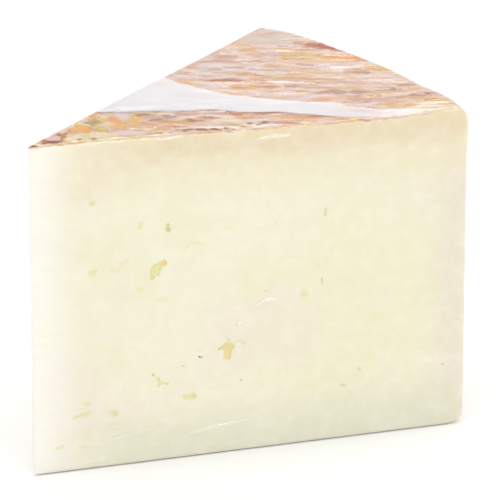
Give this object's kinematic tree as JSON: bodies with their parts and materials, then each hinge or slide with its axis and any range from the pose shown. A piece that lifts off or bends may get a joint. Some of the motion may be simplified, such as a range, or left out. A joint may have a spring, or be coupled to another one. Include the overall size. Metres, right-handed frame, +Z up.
{
  "type": "film-wrapped cheese wedge",
  "caption": "Tall wedge of a small semi-hard cheese wheel with a mottled natural rind, small eyes in the cut faces, in clear stretched film folded together underneath.",
  "frame": {"origin": "middle of the footprint's bounding box, on the surface the wedge stands on", "axes": "+X along the front cut face from the tip to the rim, +Y from the front cut face into the wedge, +Z up, from the underside to the top rind"},
  "size_m": [0.105, 0.071, 0.0816],
  "materials": {
    "cheese": "pale ivory semi-hard paste, moist and slightly translucent, with an ochre and brown mottled rind",
    "film": "thin clear stretched cling film, glossy, with fine tension wrinkles"
  },
  "bodies": {
    "root": {"cheese_wedge": "cheese", "film_wrap": "film"}
  },
  "joints": []
}
